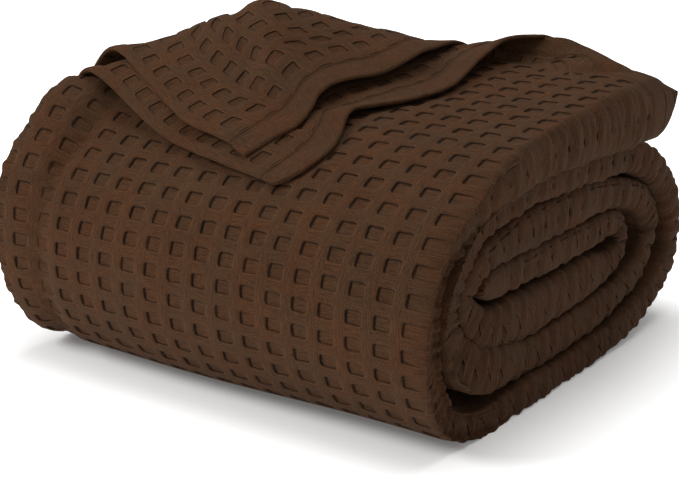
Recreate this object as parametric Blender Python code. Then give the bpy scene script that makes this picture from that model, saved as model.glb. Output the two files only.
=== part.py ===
"""Waffle weave cotton blanket, folded to a six-ply strip and rolled up flat.

The blanket is one square of cloth. It is folded lengthwise to a strip of six plies, and the strip is
rolled into a flat coil of three and a half turns that lies on its side. Its outer end lies on top and
finishes at a hem. The two outer plies of that end are turned back over the top at their far left
corner. All of it is one solid. Metres, +Z up, X along the roll, the open end of the coil at +X.
"""

import bpy
import numpy as np

MM = 0.001

# Driving sizes of the cloth
BLANKET_SIDE = 2.286
PLIES = 6
PLY = 4.4 * MM
STRIP_WIDTH = BLANKET_SIDE / PLIES
CLOTH_COLOUR = (0.062, 0.030, 0.018, 1.0)
CLOTH_ROUGHNESS = 0.9

# The middle line of the strip, from its outer end on top to its inner end in the core, and how far the
# strip has slid along the roll. Columns: place, y, z, thickness, slide, in millimetres.
COIL = (
    ("outer end", 101, 190.5, 49.0, 20),
    ("top 1", 51, 190.5, 46.0, 18),
    ("top 1", -3, 188.0, 39.5, 15),
    ("top 1", -59, 184.2, 33.0, 10),
    ("top 1", -104, 176.5, 30.5, 7),
    ("front shoulder", -143, 159.5, 30.0, 3),
    ("front 1", -172, 136.0, 29.0, -1),
    ("front 1", -185, 104.0, 29.0, -3),
    ("front 1", -185, 78.0, 29.0, -3),
    ("front 1", -176, 48.0, 28.0, -2),
    ("front foot", -157, 24.5, 27.0, -1),
    ("bottom 1", -126, 13.0, 26.0, 0),
    ("bottom 1", -78, 11.0, 23.0, 0),
    ("bottom 1", -25, 10.0, 21.0, 0),
    ("bottom 1", 35, 11.0, 22.0, 0),
    ("bottom 1", 100, 16.0, 22.0, 0),
    ("back foot", 150, 30.5, 26.0, 0),
    ("back 1", 178, 53.0, 28.0, 0),
    ("back 1", 182, 82.0, 28.0, 0),
    ("back 1", 168, 112.0, 28.0, -1),
    ("back shoulder", 140, 135.5, 26.0, -2),
    ("top 2", 100, 150.0, 24.0, -3),
    ("top 2", 50, 153.5, 23.0, -4),
    ("top 2", -10, 155.5, 21.5, -4),
    ("top 2", -70, 154.0, 19.5, -5),
    ("top 2", -110, 146.0, 19.0, -6),
    ("front 2", -138, 129.0, 20.5, -6),
    ("front 2", -154, 105.0, 22.0, -6),
    ("front 2", -156, 84.0, 22.5, -6),
    ("front 2", -147, 61.0, 23.0, -5),
    ("bottom 2", -122, 44.5, 24.0, -4),
    ("bottom 2", -70, 37.0, 24.5, -4),
    ("bottom 2", -19, 36.0, 26.0, -4),
    ("bottom 2", 40, 38.0, 26.0, -4),
    ("bottom 2", 100, 44.0, 23.0, -5),
    ("back 2", 137, 58.0, 23.0, -6),
    ("back 2", 150, 82.0, 23.0, -6),
    ("back 2", 134, 106.0, 22.0, -6),
    ("top 3", 98, 121.0, 20.0, -6),
    ("top 3", 50, 127.5, 24.0, -5),
    ("top 3", -20, 129.5, 26.0, -4),
    ("top 3", -78, 127.0, 25.0, -5),
    ("front 3", -116, 117.5, 18.0, -8),
    ("front 3", -131, 98.0, 14.0, -10),
    ("front 3", -116, 77.5, 20.0, -8),
    ("bottom 3", -70, 68.5, 31.0, -4),
    ("bottom 3", -19, 68.5, 32.0, -4),
    ("bottom 3", 40, 70.0, 29.0, -5),
    ("bottom 3", 82, 71.5, 20.0, -6),
    ("back 3", 95, 76.0, 18.0, -7),
    ("back 3", 100, 86.5, 17.5, -8),
    ("back 3", 95, 97.0, 17.0, -8),
    ("core", 82, 101.0, 17.0, -8),
    ("core", 40, 102.0, 20.0, -6),
    ("core", -20, 101.5, 22.0, -6),
    ("inner end", -92, 101.0, 19.0, -8),
)
COIL_STEP = 19.5 * MM  # between sections where the strip lies straight
TURN_DENSITY = 24 * MM  # a turn of this radius takes twice as many sections

# Across the strip, as a share of its half width: the columns of its outer and of its inner side
OUTER_COLUMNS = (-0.925, -0.865, -0.79, -0.71, -0.53, -0.27, 0.0, 0.27, 0.53, 0.75, 0.925)
INNER_COLUMNS = (-0.925, -0.5, 0.0, 0.5, 0.925)
EDGE_STEPS = 5  # points round each folded edge
EDGE_ANGLE = 66  # the outermost of them, in degrees from level
EDGE_ROUND = 0.6  # how far a folded edge rounds in, as a share of half the thickness

# Soft trough down the front near the left end. Columns: distance from the outer end, x.
CREASE = ((150, -150), (275, -135), (320, -146), (390, -149), (440, -158), (480, -172))
CREASE_DEPTH = 4.0 * MM
CREASE_WIDTH = 11 * MM
CREASE_FADE = 40 * MM
# Left of the trough the cloth bulges out at the front shoulder. Columns: distance, how far.
SHOULDER = ((170, 0), (215, 13), (240, 16), (270, 12), (305, 7), (345, 1), (380, 0))
SHOULDER_FROM = -105 * MM
SHOULDER_RAMP = 60 * MM
SWELL = 1.1 * MM  # how far the cloth swells and sinks along and across the strip
SWELL_LENGTHS = (46 * MM, 61 * MM)  # across and along, over one radian
SWELL_STARTS = (2.1, 0.7)

# The two turned plies. Each is flat cloth between its hem, its side edge and its fold, given by where
# the fold's crest meets the hem (x, distance from the outer end) and where it meets the side edge.
# The corner's pull is how far the turned corner has slid from a plain mirror image. In millimetres.
TURNED_PLIES = (
    {
        "name": "under",
        "hem_at": 0,
        "fold_at_hem": 118,
        "fold_at_side": 230,
        "corner_pull": (-2, -4),
        "rest": 3.3,
        "foot": -3.8,
        # Distance along the fold from the hem, and the height of its crest over the top
        "crest": ((0, 22), (32, 22), (50, 17), (70, 14), (100, 13), (130, 20), (160, 27), (190, 36),
                  (220, 45), (240, 49), (262, 43), (285, 36), (310, 30), (340, 28), (370, 30)),
        # Distance along the hem from the fold, how far it waves out, and how far it lifts
        "hem": ((-74, 0, 0), (-62, 0, 5), (-38, 0, 12), (-16, 0, 16), (0, 0, 9), (20, 0, 0),
                (41, -8, 0), (70, -8, 2), (94, -5, 1), (121, 5, 0), (145, 6, 0), (157, 2, 0),
                (166, -9, 1), (178, -8, 2), (190, -20, 4), (204, -11, 4), (217, -2, 2), (233, 8, 0),
                (254, 10, 0), (271, 7, 0), (285, 0, 0)),
    },
    {
        "name": "upper",
        "hem_at": 35,
        "fold_at_hem": 72,
        "fold_at_side": 211,
        "corner_pull": (20, -6),
        "rest": 8.6,
        "foot": -7.2,
        "crest": ((0, 23), (16, 20), (38, 20), (51, 22), (69, 28), (95, 35), (106, 38), (122, 44), (137, 49),
                  (152, 53), (164, 58), (173, 60), (181, 58), (189, 53), (200, 51), (211, 48), (226, 43),
                  (243, 38), (258, 35), (273, 36), (300, 36)),
        "hem": ((-60, 0, 3), (0, 0, 0), (30, 0, 0), (66, 10, 2), (100, 16, 1), (122, 13, 1), (141, 3, 5),
                (155, -2, 7), (170, 0, 7), (186, 8, 5), (203, 12, 2), (220, 6, 0), (240, 0, 0)),
    },
)
END_ROUNDING = ((0.45, 0.86), (0.8, 0.55))  # reach past the end, and thickness left there
SIDE_AT = -171  # x of the side edge at the outer end, in millimetres
LOOP_DEPTH = 11.0  # how far a fold bulges out past its crest, at most
FALL = 75.0  # a crest sinks to the cloth under it over this length of turned cloth
ROOT = 14.0  # cloth between the fold's foot and where the turned ply joins the strip
HEM_ROOT = 26.0  # more of it at the hem, which lifts off the strip on its way to the fold
HEM_BAND = 22.0  # how far from the hem that lift reaches
WAVE_BAND = 70.0  # how far from the hem its waves reach once it is turned
ROOT_LIMIT = 192  # the turned plies join the strip no further right than this x
STEP_START = 4 * MM  # the strip is lower by the turned plies past their fold: from here on
STEP_LENGTH = 14 * MM
BUNCH_SHARE = 0.45  # the plies under the upper fold bunch up to this share of its height
BUNCH_FREE = 20.0  # less this height
BUNCH_WIDTH = 38.0
SHARP_OVER = 50  # degrees
PLY_ROWS = 20
PLY_COLUMNS = 27


def smooth_line(rows, step):
    """A smooth curve through the rows' points at an even step, as y, z, thickness and slide."""
    points = np.array([row[1:] for row in rows], float) * MM
    chord = np.linalg.norm(np.diff(points[:, :2], axis=0), axis=1)
    at = np.concatenate([[0.0], np.cumsum(chord)])
    slope = np.gradient(points, at, axis=0)
    fine = np.arange(0.0, at[-1], step)
    k = np.clip(np.searchsorted(at, fine, side="right") - 1, 0, len(rows) - 2)
    span = (at[k + 1] - at[k])[:, None]
    t = (fine - at[k])[:, None] / span
    start = (2 * t**3 - 3 * t**2 + 1) * points[k] + (t**3 - 2 * t**2 + t) * span * slope[k]
    end = (3 * t**2 - 2 * t**3) * points[k + 1] + (t**3 - t**2) * span * slope[k + 1]
    return start + end


def outward(line):
    """Unit normals of a y, z curve, on the side that faces out of the coil."""
    along = np.gradient(line, axis=0)
    along /= np.linalg.norm(along, axis=1)[:, None]
    return np.stack([along[:, 1], -along[:, 0]], axis=1)


def arc_length(line):
    return np.concatenate([[0.0], np.cumsum(np.linalg.norm(np.diff(line, axis=0), axis=1))])


OVERHANG = 40  # the face runs straight on past the outer end by this many steps
FINE = smooth_line(COIL, 1 * MM)
FINE_OUT = outward(FINE[:, :2])
FACE = FINE[:, :2] + FINE_OUT * FINE[:, 2:3] / 2  # the strip's outer side
FACE = np.concatenate([FACE[:1] + (FACE[0] - FACE[1]) * OVERHANG, FACE])
FACE_OUT = np.concatenate([FINE_OUT[:1], FINE_OUT])
FACE_AT = arc_length(FACE)
FACE_AT -= FACE_AT[1]


def on_face(x, at, height):
    """The point a height over the strip's outer side, from x and the distance from the outer end."""
    y = np.interp(at, FACE_AT, FACE[:, 0]) + np.interp(at, FACE_AT, FACE_OUT[:, 0]) * height
    z = np.interp(at, FACE_AT, FACE[:, 1]) + np.interp(at, FACE_AT, FACE_OUT[:, 1]) * height
    return np.stack([x, y, z], axis=-1)


def ease(t):
    """Falls smoothly from 1 at t = 0 to 0 at t = 1 and beyond."""
    return 0.5 + 0.5 * np.cos(np.pi * np.clip(t, 0.0, 1.0))


def fold_of(ply):
    """The fold's start at the hem, its direction to the side edge, and its normal to the corner."""
    start = np.array([ply["fold_at_hem"], ply["hem_at"]], float) * MM
    end = np.array([SIDE_AT, ply["fold_at_side"]], float) * MM
    along = (end - start) / np.linalg.norm(end - start)
    return start, along, np.array([-along[1], along[0]]) * np.sign(-along[0])


def loop_radius(half_height):
    """The radius of a round loop with as much cloth in it as a loop of this half height and limited depth."""
    return np.sqrt((half_height**2 + np.minimum(half_height, LOOP_DEPTH * MM) ** 2) / 2)


def sections():
    """Sections of the strip along the coil, closer together in its turns."""
    middle = FINE[:, :2]
    at = arc_length(middle)
    along = np.gradient(middle, axis=0)
    turn = np.abs(np.gradient(np.unwrap(np.arctan2(along[:, 1], along[:, 0])), at))
    weight = np.concatenate([[0.0], np.cumsum(np.diff(at) * (1 + TURN_DENSITY * turn[1:]))])
    picks = np.linspace(0.0, weight[-1], int(at[-1] / COIL_STEP))
    index = np.interp(picks, weight, np.arange(len(at)))
    lower = np.clip(index.astype(int), 0, len(at) - 2)
    share = (index - lower)[:, None]

    def pick(values):
        return values[lower] * (1 - share) + values[lower + 1] * share

    return pick(FINE), pick(FINE_OUT), pick(FACE_AT[1:, None])[:, 0]


def fold_place(ply, x, at):
    """A flat point's distances past a ply's fold, towards the corner, and along it from the hem."""
    start, along, normal = fold_of(ply)
    past = (x - start[0]) * normal[0] + (at - start[1]) * normal[1]
    return past, (x - start[0]) * along[0] + (at - start[1]) * along[1]


def crest_height(ply, length):
    """How high a ply's fold stands over the strip's even outer side."""
    crest = np.array(ply["crest"], float) * MM
    return np.interp(length, crest[:, 0], crest[:, 1])


def relief(x, at):
    """How far the outer side stands from its even height: trough, swell and what the turned plies leave."""
    crease = np.array(CREASE, float) * MM
    from_crease = (x - np.interp(at, crease[:, 0], crease[:, 1])) / CREASE_WIDTH
    trough = CREASE_DEPTH * np.exp(-(from_crease**2)) * ease((crease[0, 0] - at) / CREASE_FADE)
    trough *= ease((at - crease[-1, 0]) / CREASE_FADE)
    shoulder = np.array(SHOULDER, float) * MM
    bulge = np.interp(at, shoulder[:, 0], shoulder[:, 1]) * (1 - ease((SHOULDER_FROM - x) / SHOULDER_RAMP))
    swell = SWELL * np.sin(x / SWELL_LENGTHS[0] + SWELL_STARTS[0])
    swell = swell * np.sin(at / SWELL_LENGTHS[1] + SWELL_STARTS[1])
    past, _ = fold_place(TURNED_PLIES[0], x, at)
    step = len(TURNED_PLIES) * PLY * (1 - ease((past - STEP_START) / STEP_LENGTH))
    past, length = fold_place(TURNED_PLIES[1], x, at)
    bunch = BUNCH_SHARE * np.clip(crest_height(TURNED_PLIES[1], length) - BUNCH_FREE * MM, 0.0, None)
    return swell + bulge - trough - step + bunch * np.exp(-((past / (BUNCH_WIDTH * MM)) ** 2))


def section_points(row, out, at):
    """One closed ring round the strip: outer side, right edge, inner side, left edge."""
    half, slide = row[2] / 2, row[3]
    edge = STRIP_WIDTH / 2
    x_out = np.array(OUTER_COLUMNS) * edge
    x_in = np.array(INNER_COLUMNS[::-1]) * edge
    angle = np.radians(np.linspace(EDGE_ANGLE, -EDGE_ANGLE, EDGE_STEPS))
    x_edge = edge - half * EDGE_ROUND * (1 - np.cos(angle))
    x = np.concatenate([x_out, x_edge, x_in, -x_edge[::-1]]) + slide
    top = half + relief(x_out + slide, at)
    share = (1 + np.sin(angle)) / 2
    rise = np.concatenate(
        [
            top,
            -half + (half + top[-1]) * share,
            np.full(len(x_in), -half),
            (-half + (half + top[0]) * share)[::-1],
        ]
    )
    return np.stack([x, row[0] + out[0] * rise, row[1] + out[1] * rise], axis=1)


def rounded_end(ring, along):
    """Rings past an end of the strip that close it with a soft round edge."""
    half = 0.5 * np.ptp(ring @ np.cross([1.0, 0.0, 0.0], along))
    middle = ring * [1, 0, 0] + ring.mean(axis=0) * [0, 1, 1]
    return [ring * share + middle * (1 - share) + along * reach * half for reach, share in END_ROUNDING]


def strip_mesh():
    """The rolled strip as one closed shell of rings, flat where it rests."""
    rows, outs, ats = sections()
    rings = [section_points(row, out, at) for row, out, at in zip(rows, outs, ats)]
    first = rings[0].mean(axis=0) - rings[1].mean(axis=0)
    last = rings[-1].mean(axis=0) - rings[-2].mean(axis=0)
    first[0] = last[0] = 0.0
    before = rounded_end(rings[0], first / np.linalg.norm(first))[::-1]
    after = rounded_end(rings[-1], last / np.linalg.norm(last))
    points = np.array(before + rings + after)
    points[..., 2] = np.maximum(points[..., 2], 0.0)
    return closed_tube(points)


def closed_tube(points):
    """Vertices and faces of a tube of rings, with a fan over each end."""
    count, around = points.shape[:2]
    verts = np.concatenate([points.reshape(-1, 3), points[[0, -1]].mean(axis=1)])
    ring = np.arange(count - 1)[:, None] * around
    here = ring + np.arange(around)
    side = ring + np.roll(np.arange(around), -1)
    faces = np.stack([here, here + around, side + around, side], axis=-1).reshape(-1, 4).tolist()
    lap = np.arange(around)
    turned = np.roll(lap, -1)
    faces += [(count * around, a, b) for a, b in zip(lap, turned)]
    top = (count - 1) * around
    faces += [(count * around + 1, top + b, top + a) for a, b in zip(lap, turned)]
    return verts, faces


def ply_middle(ply):
    """The middle surface of a turned ply, as a grid of rows along the hem and columns across the fold."""
    start, along, normal = fold_of(ply)
    hem, side = ply["hem_at"] * MM, SIDE_AT * MM
    at = hem + (ply["fold_at_side"] * MM - hem) * np.linspace(0.0, 1.0, PLY_ROWS)[:, None]
    fold_x = start[0] + (at - hem) * along[0] / along[1]
    near_hem = np.exp(-(((at - hem) / (HEM_BAND * MM)) ** 2))
    top_most = max(height for _, height in ply["crest"]) * MM
    loop_most = loop_radius((top_most - ply["foot"] * MM) / 2) * np.pi / 2
    root = fold_x + (loop_most + (ROOT + HEM_ROOT * near_hem) * MM) / -normal[0]
    root = np.minimum(root, ROOT_LIMIT * MM)
    x = side + (root - side) * np.linspace(0.0, 1.0, PLY_COLUMNS)
    past, length = fold_place(ply, x, at)
    top = crest_height(ply, length) - PLY / 2
    foot = ply["foot"] * MM
    half_height = (top - foot) / 2
    radius = loop_radius(half_height)
    angle = np.clip(past / radius, -np.pi / 2, np.pi / 2)
    beyond = np.abs(past) - radius * np.pi / 2
    rest = ply["rest"] * MM
    height = foot + half_height * (1 + np.sin(angle))
    fallen = rest + (top - rest) * ease(beyond / (FALL * MM))
    height = np.where((past > 0) & (beyond > 0), fallen, height)
    fade = np.where(past > 0, FALL, ROOT) * MM
    slack = radius * np.pi / 2 * (1 - ease(beyond / fade))
    depth = np.minimum(half_height, LOOP_DEPTH * MM)
    across = np.where(beyond > 0, -beyond - slack, depth * np.cos(angle))
    place_x = start[0] + length * along[0] + across * normal[0]
    place_at = start[1] + length * along[1] + across * normal[1]
    pull = np.clip(past / ((side - start[0]) * normal[0]), 0.0, None)
    wave = np.array(ply["hem"], float) * MM
    hem_length = fold_x - x
    reach = np.where(hem_length > 0, np.exp(-(((at - hem) / (WAVE_BAND * MM)) ** 2)), near_hem)
    place_x += pull * ply["corner_pull"][0] * MM + reach * np.interp(hem_length, wave[:, 0], wave[:, 1])
    place_at += pull * ply["corner_pull"][1] * MM
    height += reach * np.interp(hem_length, wave[:, 0], wave[:, 2])
    return on_face(place_x, place_at, height)


def ply_mesh(ply):
    """A turned ply as a closed sheet, half its thickness to each side of its middle surface."""
    middle = ply_middle(ply)
    across = np.cross(np.gradient(middle, axis=0), np.gradient(middle, axis=1))
    across /= np.linalg.norm(across, axis=-1)[..., None]
    rows, columns = middle.shape[:2]
    upper, lower = middle + across * PLY / 2, middle - across * PLY / 2
    verts = np.concatenate([upper.reshape(-1, 3), lower.reshape(-1, 3)])
    index = np.arange(rows * columns).reshape(rows, columns)
    quads = np.stack([index[:-1, :-1], index[1:, :-1], index[1:, 1:], index[:-1, 1:]], axis=-1)
    quads = quads.reshape(-1, 4)
    below = quads[:, ::-1] + rows * columns
    rim = np.concatenate([index[0, :-1], index[:-1, -1], index[-1, :0:-1], index[:0:-1, 0]])
    after = np.roll(rim, -1)
    walls = np.stack([rim, after, after + rows * columns, rim + rows * columns], axis=-1)
    return verts, np.concatenate([quads, below, walls]).tolist()


def add_object(name, verts, faces):
    mesh = bpy.data.meshes.new(name)
    mesh.from_pydata(verts.tolist(), [], faces)
    mesh.validate()
    mesh.update()
    made = bpy.data.objects.new(name, mesh)
    bpy.context.scene.collection.objects.link(made)
    return made


def cloth_material():
    made = bpy.data.materials.new("waffle cotton")
    made.use_nodes = True
    shader = made.node_tree.nodes["Principled BSDF"]
    shader.inputs["Base Color"].default_value = CLOTH_COLOUR
    shader.inputs["Roughness"].default_value = CLOTH_ROUGHNESS
    return made


def build():
    for old in list(bpy.data.objects):
        bpy.data.objects.remove(old, do_unlink=True)
    blanket = add_object("blanket", *strip_mesh())
    blanket.data.materials.append(cloth_material())
    for ply in TURNED_PLIES:
        turned = add_object("turned_" + ply["name"], *ply_mesh(ply))
        turned.hide_render = True
        turned.display_type = "WIRE"
        join = blanket.modifiers.new("join " + ply["name"], "BOOLEAN")
        join.operation = "UNION"
        join.object = turned
    blanket.data.shade_smooth()
    blanket.data.set_sharp_from_angle(angle=np.radians(SHARP_OVER))


build()
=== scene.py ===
import math

import bmesh
import bpy
import numpy as np
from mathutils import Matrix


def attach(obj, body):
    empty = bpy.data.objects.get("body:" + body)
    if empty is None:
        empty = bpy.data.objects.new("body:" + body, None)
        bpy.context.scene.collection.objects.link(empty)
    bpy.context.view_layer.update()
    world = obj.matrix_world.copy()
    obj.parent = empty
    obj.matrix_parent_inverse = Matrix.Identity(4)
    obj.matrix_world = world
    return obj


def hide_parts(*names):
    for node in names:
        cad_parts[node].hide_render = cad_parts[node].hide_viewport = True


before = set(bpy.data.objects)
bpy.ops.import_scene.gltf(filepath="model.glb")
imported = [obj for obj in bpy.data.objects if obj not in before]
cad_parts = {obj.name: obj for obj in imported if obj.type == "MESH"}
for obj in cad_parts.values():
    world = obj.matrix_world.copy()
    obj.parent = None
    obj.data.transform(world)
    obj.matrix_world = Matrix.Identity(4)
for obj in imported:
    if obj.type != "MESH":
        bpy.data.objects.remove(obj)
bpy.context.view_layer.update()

mm = 0.001
scene = bpy.context.scene

# The camera of the photograph, the soft studio light and the floor
studio = {
    "cameraPlace": (0.6786, -0.9926, 0.4436),
    "cameraTurn": (72.88, 0.0, 34.94),
    "lens": 84.83,
    "sensor": 36.0,
    "clipEnd": 100.0,
    "sky": {"Color": (1.0, 1.0, 1.0, 1.0), "Strength": 0.38},
    "floorSize": 14.0,
    "floor": {"Base Color": (0.92, 0.915, 0.905, 1.0), "Roughness": 0.8, "Specular IOR Level": 0.1,
              "Emission Color": (1.0, 1.0, 1.0, 1.0)},
    # The floor is painted light: it glows all round the object, and the dim patch under it is a painted
    # shadow. From that patch: where the glow starts to rise and where it is full, and how strong it is there
    "paintedFloorLight": {"From Min": 0.0, "From Max": 180 * mm, "To Min": 0.1, "To Max": 0.7},
    "paintedShadowHalf": (165 * mm, 140 * mm),  # half the size of that patch
    # Each light's place, target, size and watts
    "keyLight": ((-1.35, -1.6, 1.6), (0.0, 0.0, 0.1), 1.2, 43.0),
    "topLight": ((0.1, 0.2, 2.2), (0.0, 0.0, 0.1), 1.8, 27.0),
    "fillLight": ((1.9, -0.9, 1.0), (0.0, 0.0, 0.1), 1.6, 0.5),
}


def addObject(name, data):
    made = bpy.data.objects.new(name, data)
    scene.collection.objects.link(made)
    return made


# A node's inputs by their names
def setInputs(one, values):
    for title, value in values.items():
        one.inputs[title].default_value = value


def addMaterial(name, surface):
    made = bpy.data.materials.new(name)
    made.use_nodes = True
    shader = made.node_tree.nodes["Principled BSDF"]
    setInputs(shader, surface)
    return made, made.node_tree.nodes, made.node_tree.links, shader


def addCamera():
    data = bpy.data.cameras.new("photoCamera")
    data.lens = studio["lens"]
    data.sensor_width = studio["sensor"]
    data.clip_end = studio["clipEnd"]
    camera = addObject("photoCamera", data)
    camera.location = studio["cameraPlace"]
    camera.rotation_euler = [math.radians(v) for v in studio["cameraTurn"]]
    scene.camera = camera


def addLight(name, place, target, size, watts):
    data = bpy.data.lights.new(name, "AREA")
    data.shape = "DISK"
    data.size = size
    data.energy = watts
    lamp = addObject(name, data)
    lamp.location = place
    away = np.array(place) - np.array(target)
    turn = math.atan2(away[1], away[0]) + math.pi / 2
    tip = math.acos(away[2] / np.linalg.norm(away))
    lamp.rotation_euler = (tip, 0.0, turn)


addCamera()
for lampName in ("keyLight", "topLight", "fillLight"):
    addLight(lampName, *studio[lampName])
scene.view_settings.view_transform = "Standard"
print("camera and lights")

# The rolled strip, as the solids have it. The coil's columns are y, z, thickness and slide along the roll,
# from the outer end on top to the inner end in the core. All tables are in millimetres.
strip = {
    "width": 381 * mm,
    "coil": (
        (101, 190.5, 49.0, 20), (51, 190.5, 46.0, 18), (-3, 188.0, 39.5, 15), (-59, 184.2, 33.0, 10),
        (-104, 176.5, 30.5, 7), (-143, 159.5, 30.0, 3), (-172, 136.0, 29.0, -1), (-185, 104.0, 29.0, -3),
        (-185, 78.0, 29.0, -3), (-176, 48.0, 28.0, -2), (-157, 24.5, 27.0, -1), (-126, 13.0, 26.0, 0),
        (-78, 11.0, 23.0, 0), (-25, 10.0, 21.0, 0), (35, 11.0, 22.0, 0), (100, 16.0, 22.0, 0),
        (150, 30.5, 26.0, 0), (178, 53.0, 28.0, 0), (182, 82.0, 28.0, 0), (168, 112.0, 28.0, -1),
        (140, 135.5, 26.0, -2), (100, 150.0, 24.0, -3), (50, 153.5, 23.0, -4), (-10, 155.5, 21.5, -4),
        (-70, 154.0, 19.5, -5), (-110, 146.0, 19.0, -6), (-138, 129.0, 20.5, -6), (-154, 105.0, 22.0, -6),
        (-156, 84.0, 22.5, -6), (-147, 61.0, 23.0, -5), (-122, 44.5, 24.0, -4), (-70, 37.0, 24.5, -4),
        (-19, 36.0, 26.0, -4), (40, 38.0, 26.0, -4), (100, 44.0, 23.0, -5), (137, 58.0, 23.0, -6),
        (150, 82.0, 23.0, -6), (134, 106.0, 22.0, -6), (98, 121.0, 20.0, -6), (50, 127.5, 24.0, -5),
        (-20, 129.5, 26.0, -4), (-78, 127.0, 25.0, -5), (-116, 117.5, 18.0, -8), (-131, 98.0, 14.0, -10),
        (-116, 77.5, 20.0, -8), (-70, 68.5, 31.0, -4), (-19, 68.5, 32.0, -4), (40, 70.0, 29.0, -5),
        (82, 71.5, 20.0, -6), (95, 76.0, 18.0, -7), (100, 86.5, 17.5, -8), (95, 97.0, 17.0, -8),
        (82, 101.0, 17.0, -8), (40, 102.0, 20.0, -6), (-20, 101.5, 22.0, -6), (-92, 101.0, 19.0, -8),
    ),
    "edgeRound": 0.6,  # how far the round edge stands out, in half thicknesses
    "edgeSquare": 2.7,  # 2 is half an ellipse, and more is squarer
    "edgeSteps": 361,
    "edgeFade": (-0.25, 0.45, -0.2, 0.9),  # where the edge's finish comes and goes, from its two ends
    "hideFade": (0.3, 2.2),  # where the next turn hides the inner side, from the edge's end
    "evenShare": 0.925,  # past this share of the half width the relief keeps its last height
    # The trough down the front: distance from the outer end, and x
    "crease": ((150, -150), (275, -135), (320, -146), (390, -149), (440, -158), (480, -172)),
    "creaseDepth": 4.0 * mm,
    "creaseWidth": 11 * mm,
    "creaseFade": 40 * mm,
    "crumpleWidth": 8 * mm,  # crumpled cloth along the trough
    "crumpleShare": 0.75,
    # The bulge left of the trough: distance, and how far it stands out
    "shoulder": ((170, 0), (215, 13), (240, 16), (270, 12), (305, 7), (345, 1), (380, 0)),
    "shoulderFrom": -105 * mm,
    "shoulderRamp": 60 * mm,
    "swell": 1.1 * mm,
    "swellLengths": (46 * mm, 61 * mm),
    "swellStarts": (2.1, 0.7),
    "plyThickness": 4.4 * mm,
    "stepStart": 4 * mm,  # the top is two plies lower past the fold, from here
    "stepLength": 14 * mm,
    "bunchShare": 0.45,  # the top is bunched up under the fold's high parts
    "bunchFree": 20 * mm,
    "bunchWidth": 38 * mm,
    # The far right corner hangs lower: how far, x where that starts and is full, and its length
    "droop": 6 * mm,
    "droopFrom": 176 * mm,
    "droopFull": 212 * mm,
    "droopLength": 85 * mm,
}

# The two plies turned back over the top, as the solids have them
turned = {
    "sideAt": -171 * mm,
    "loopDepth": 11 * mm,
    "fall": 75 * mm,
    "root": 14 * mm,
    "hemRoot": 26 * mm,
    "hemBand": 22 * mm,  # how far in from the hem its own shape reaches, and its waves
    "waveBand": 70 * mm,
    "rootLimit": 192 * mm,
    "under": {
        "hemAt": 0.0, "foldAtHem": 118, "foldAtSide": 230, "cornerPull": (-2, -4), "cornerRadius": 16,
        "rest": 3.3, "foot": -3.8,
        "crest": ((0, 22), (32, 22), (50, 17), (70, 14), (100, 13), (130, 20), (160, 27), (190, 36),
                  (220, 45), (240, 49), (262, 43), (285, 36), (310, 30), (340, 28), (370, 30)),
        "hem": ((-74, 0, 0), (-62, 0, 5), (-38, 0, 12), (-16, 0, 16), (0, 0, 9), (20, 0, 0), (41, -8, 0),
                (70, -8, 2), (94, -4, 1), (112, 1, 1), (130, 3, 1), (145, 1, 1), (157, -2, 1), (168, -6, 2),
                (180, -11, 3), (192, -15, 4), (206, -10, 4), (219, -2, 2), (234, 6, 0), (254, 10, 0),
                (271, 7, 0), (285, 0, 0)),
    },
    "upper": {
        "hemAt": 35.0, "foldAtHem": 72, "foldAtSide": 211, "cornerPull": (20, -6), "cornerRadius": 2,
        "rest": 8.6, "foot": -7.2,
        "crest": ((0, 23), (16, 20), (38, 20), (51, 22), (69, 28), (95, 35), (106, 38), (122, 44),
                  (137, 49), (152, 53), (164, 58), (173, 60), (181, 58), (189, 53), (200, 51), (211, 48),
                  (226, 43), (243, 38), (258, 35), (273, 36), (300, 36)),
        "hem": ((-60, 0, 3), (0, 0, 0), (30, 0, 0), (66, 10, 2), (100, 16, 1), (122, 13, 1), (141, 3, 5),
                (155, -2, 7), (170, 0, 7), (186, 8, 5), (203, 12, 2), (220, 6, 0), (240, 0, 0)),
    },
}

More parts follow.
